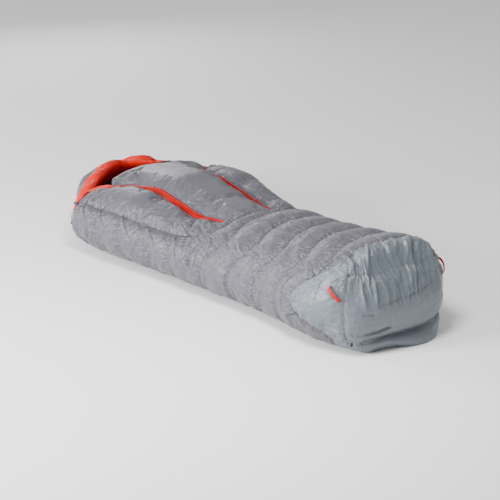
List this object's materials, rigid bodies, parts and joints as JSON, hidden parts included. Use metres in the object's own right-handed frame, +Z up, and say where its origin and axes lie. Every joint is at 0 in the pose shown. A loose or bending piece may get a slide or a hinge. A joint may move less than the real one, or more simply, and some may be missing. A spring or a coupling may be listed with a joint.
{
  "type": "mummy sleeping bag",
  "caption": "Mummy sleeping bag, lying closed, with a two-way side zip, two zipped chest gills, drawcord hood and boxed foot.",
  "frame": {"origin": "on the floor under the middle of the bag's length, on its centre line", "axes": "+Y towards the head, +X towards the sleeper's left, +Z up"},
  "size_m": [0.8882, 2.08, 0.4052],
  "materials": {
    "shell_nylon": "satin ripstop nylon",
    "footbox_nylon": "coated nylon with a soft sheen",
    "gill_red": "satin",
    "lining_nylon": "soft matt taffeta",
    "hood_lining_red": "satin taffeta",
    "filling": "lofty fibre",
    "zip_tape_black": "woven matt",
    "zip_tape_red": "woven matt",
    "coil_black": "satin",
    "coil_red": "satin",
    "slider_metal": "semi-gloss black",
    "webbing_red": "woven",
    "tag_black": "woven",
    "cord_red": "braided",
    "lock_plastic": "satin",
    "cord_tip": "satin",
    "spring_steel": "bare"
  },
  "bodies": {
    "bag": {"bottom_fill": "filling", "bottom_lining": "lining_nylon", "bottom_shell": "shell_nylon", "chest_fill": "filling", "chest_lobe_shell_left": "shell_nylon", "chest_lobe_shell_right": "shell_nylon", "chest_patch": "shell_nylon", "chest_shell": "shell_nylon", "cord_lock_barrel": "lock_plastic", "cord_lock_spring": "spring_steel", "draft_collar": "hood_lining_red", "draft_tube": "lining_nylon", "foot_end_fill": "filling", "foot_end_shell": "footbox_nylon", "foot_loop_left": "webbing_red", "foot_loop_right": "webbing_red", "foot_tag": "tag_black", "footbox_base_shell": "footbox_nylon", "footbox_fill": "filling", "footbox_lining": "lining_nylon", "footbox_shell": "footbox_nylon", "gill_coil_left": "coil_red", "gill_coil_right": "coil_red", "gill_insets": "gill_red", "gill_tabs": "gill_red", "gill_tape_left": "zip_tape_red", "gill_tape_right": "zip_tape_red", "hood_back_fill": "filling", "hood_back_shell": "shell_nylon", "hood_cord": "cord_red", "hood_cord_end": "cord_tip", "hood_eyelet": "slider_metal", "hood_fill_left": "filling", "hood_fill_right": "filling", "hood_lining": "hood_lining_red", "hood_rim_channel": "shell_nylon", "hood_shell_left": "shell_nylon", "hood_shell_right": "shell_nylon", "leg_fill": "filling", "leg_shell": "shell_nylon", "side_fill_left_lower": "filling", "side_fill_left_upper": "filling", "side_fill_right": "filling", "side_lining": "lining_nylon", "side_shell_left_lower": "shell_nylon", "side_shell_left_upper": "shell_nylon", "side_shell_right": "shell_nylon", "top_lining": "lining_nylon", "zip_coil": "coil_black", "zip_stops": "slider_metal", "zip_tape": "zip_tape_black"},
    "zip_top_slider": {"zip_slider_top": "slider_metal"},
    "zip_top_puller": {"zip_puller_top": "slider_metal"},
    "zip_bottom_slider": {"zip_slider_bottom": "slider_metal"},
    "zip_bottom_puller": {"zip_puller_bottom": "slider_metal"},
    "gill_left_slider": {"gill_slider_left": "slider_metal"},
    "gill_left_puller": {"gill_puller_left": "slider_metal"},
    "gill_right_slider": {"gill_slider_right": "slider_metal"},
    "gill_right_puller": {"gill_puller_right": "slider_metal"},
    "lock_plunger": {"cord_lock_plunger": "lock_plastic"}
  },
  "joints": [
    {"name": "zip_top_slide", "type": "slide", "parent": "bag", "child": "zip_top_slider", "axis": [-0.1236, -0.9923, 0.0075], "range_m": [0, 0.64]},
    {"name": "zip_top_puller_swing", "type": "hinge", "parent": "zip_top_slider", "child": "zip_top_puller", "pos_m": [0.43734, 0.52422, 0.13812], "axis": [0, 0.0075, 1], "range_deg": [0, 170]},
    {"name": "zip_bottom_slide", "type": "slide", "parent": "bag", "child": "zip_bottom_slider", "axis": [0.1236, 0.9923, -0.0075], "range_m": [0, 0.36]},
    {"name": "zip_bottom_puller_swing", "type": "hinge", "parent": "zip_bottom_slider", "child": "zip_bottom_puller", "pos_m": [0.30905, -0.50601, 0.14589], "axis": [0, -0.0075, -1], "range_deg": [0, 170]},
    {"name": "gill_left_slide", "type": "slide", "parent": "bag", "child": "gill_left_slider", "axis": [0.0257, 0.9909, 0.1323], "range_m": [0, 0.275]},
    {"name": "gill_left_puller_swing", "type": "hinge", "parent": "gill_left_slider", "child": "gill_left_puller", "pos_m": [0.15387, 0.10185, 0.26932], "axis": [-0.9934, 0.0105, 0.114], "range_deg": [0, 170]},
    {"name": "gill_right_slide", "type": "slide", "parent": "bag", "child": "gill_right_slider", "axis": [-0.0257, 0.9909, 0.1323], "range_m": [0, 0.275]},
    {"name": "gill_right_puller_swing", "type": "hinge", "parent": "gill_right_slider", "child": "gill_right_puller", "pos_m": [-0.15387, 0.10185, 0.26932], "axis": [-0.9934, -0.0105, -0.114], "range_deg": [0, 170]},
    {"name": "lock_press", "type": "slide", "parent": "bag", "child": "lock_plunger", "axis": [-0.1437, 0.9882, -0.0532], "range_m": [0, 0.003], "stiffness_N_per_m": 400, "springref_m": -0.002}
  ]
}
